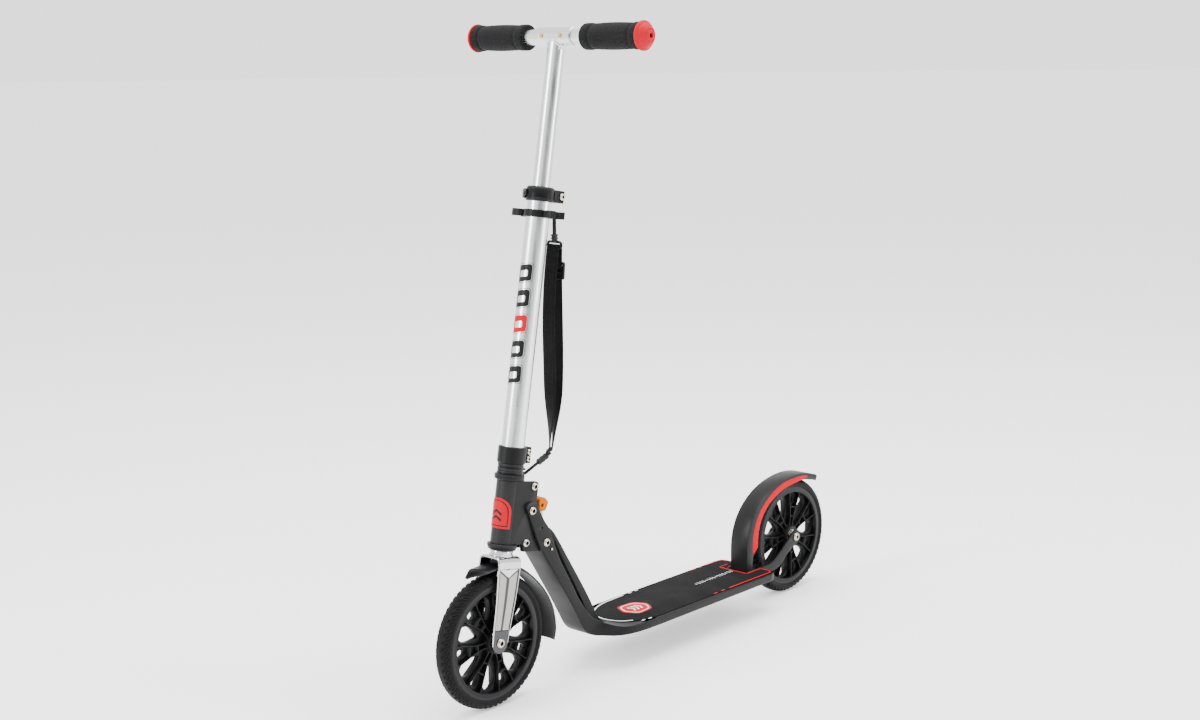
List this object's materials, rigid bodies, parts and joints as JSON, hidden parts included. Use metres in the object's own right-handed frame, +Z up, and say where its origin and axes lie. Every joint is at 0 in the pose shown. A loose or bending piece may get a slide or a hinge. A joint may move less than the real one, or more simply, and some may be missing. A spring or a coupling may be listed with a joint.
{
  "type": "kick scooter",
  "caption": "Folding kick scooter with large front and rear wheels, height-adjustable T-bar, grip deck, rear fender brake and carrying strap.",
  "frame": {"origin": "on the ground, midway between the two wheels", "axes": "+Z up, the scooter rolls towards -Y, its left side is +X"},
  "size_m": [0.3542, 0.9174, 0.9775],
  "materials": {
    "frame_black": "satin black powder coat",
    "black_plastic": "moulded, lightly grained",
    "satin_tube": "satin anodised",
    "chrome": "polished plate",
    "steel": "turned and zinc plated",
    "brass": "turned",
    "orange_paint": "metallic orange",
    "red_plastic": "soft gloss",
    "foam": "closed-cell foam, fine open skin",
    "tyre": "matt polyurethane with shoulder sipes",
    "grip_tape": "abrasive grit with printed lines",
    "webbing": "woven polyester webbing"
  },
  "bodies": {
    "deck_frame": {"deck": "frame_black", "neck": "frame_black", "grip_tape": "grip_tape", "left_dropout": "frame_black", "right_dropout": "frame_black", "rear_axle_bolt": "steel", "rear_axle_nut": "steel", "fold_pivot_bolt": "steel", "lever_pivot_bolt": "steel", "lever_spring_pin": "steel", "brake_pivot_pin": "steel"},
    "head": {"head_bracket": "frame_black", "head_badge": "red_plastic", "lower_cup": "black_plastic", "upper_cup": "black_plastic", "lower_head_bearing": "steel", "upper_head_bearing": "steel", "lock_pin": "steel", "left_bracket_screw": "steel", "right_bracket_screw": "steel"},
    "fold_lever": {"fold_lever": "steel", "lever_paddle": "orange_paint"},
    "steering": {"fork": "chrome", "front_mudguard": "black_plastic", "crown_race": "chrome", "strap_ring": "frame_black", "stem_clamp": "frame_black", "lower_clamp_bolt": "steel", "upper_clamp_bolt": "steel", "outer_tube": "satin_tube", "tube_bushing": "black_plastic", "height_clamp": "black_plastic", "height_clamp_bolt": "steel", "grip_holder": "black_plastic", "upper_strap_hook": "black_plastic", "strap_webbing": "webbing", "strap_slider": "black_plastic", "lower_strap_hook": "black_plastic", "front_axle_bolt": "steel", "front_axle_nut": "steel"},
    "clamp_lever": {"clamp_lever": "black_plastic"},
    "height_bar": {"inner_tube": "satin_tube", "crossbar": "satin_tube"},
    "left_handle": {"left_handle_tube": "satin_tube", "left_grip": "foam", "left_end_cap": "red_plastic"},
    "right_handle": {"right_handle_tube": "satin_tube", "right_grip": "foam", "right_end_cap": "red_plastic"},
    "left_button": {"left_button": "brass"},
    "right_button": {"right_button": "brass"},
    "front_wheel": {"front_tyre": "tyre", "front_hub": "black_plastic", "front_left_bearing": "steel", "front_right_bearing": "steel"},
    "rear_wheel": {"rear_tyre": "tyre", "rear_hub": "black_plastic", "rear_left_bearing": "steel", "rear_right_bearing": "steel"},
    "rear_brake": {"rear_fender": "frame_black"}
  },
  "joints": [
    {"name": "fold", "type": "hinge", "parent": "deck_frame", "child": "head", "pos_m": [0, -0.28962, 0.28249], "axis": [-1, 0, 0], "range_deg": [0, 80]},
    {"name": "fold_release", "type": "hinge", "parent": "deck_frame", "child": "fold_lever", "pos_m": [0, -0.2618, 0.22885], "axis": [-1, 0, 0], "range_deg": [0, 15], "stiffness_Nm_per_rad": 2, "springref_deg": -11.46},
    {"name": "steer", "type": "hinge", "parent": "head", "child": "steering", "pos_m": [0, -0.35595, 0.09949], "axis": [0, 0.1816, 0.9834], "range_deg": [-60, 60]},
    {"name": "clamp_open", "type": "hinge", "parent": "steering", "child": "clamp_lever", "pos_m": [-0.011, -0.20895, 0.7305], "axis": [0, -0.1816, -0.9834], "range_deg": [0, 150]},
    {"name": "height", "type": "slide", "parent": "steering", "child": "height_bar", "axis": [0, 0.1816, 0.9834], "range_m": [-0.185, 0]},
    {"name": "left_handle_pull", "type": "slide", "parent": "height_bar", "child": "left_handle", "axis": [1, 0, 0], "range_m": [0, 0.07]},
    {"name": "right_handle_pull", "type": "slide", "parent": "height_bar", "child": "right_handle", "axis": [-1, 0, 0], "range_m": [0, 0.07]},
    {"name": "left_button_press", "type": "slide", "parent": "height_bar", "child": "left_button", "axis": [0, 0.9834, -0.1816], "range_m": [0, 0.003], "stiffness_N_per_m": 400, "springref_m": -0.002},
    {"name": "right_button_press", "type": "slide", "parent": "height_bar", "child": "right_button", "axis": [0, 0.9834, -0.1816], "range_m": [0, 0.003], "stiffness_N_per_m": 400, "springref_m": -0.002},
    {"name": "front_wheel_spin", "type": "hinge", "parent": "steering", "child": "front_wheel", "pos_m": [0, -0.3587, 0.1], "axis": [1, 0, 0], "continuous": true},
    {"name": "rear_wheel_spin", "type": "hinge", "parent": "deck_frame", "child": "rear_wheel", "pos_m": [0, 0.3587, 0.1], "axis": [1, 0, 0], "continuous": true},
    {"name": "brake_press", "type": "hinge", "parent": "deck_frame", "child": "rear_brake", "pos_m": [0, 0.235, 0.06155], "axis": [-1, 0, 0], "range_deg": [0, 1.6], "stiffness_Nm_per_rad": 10, "springref_deg": -5.73}
  ]
}
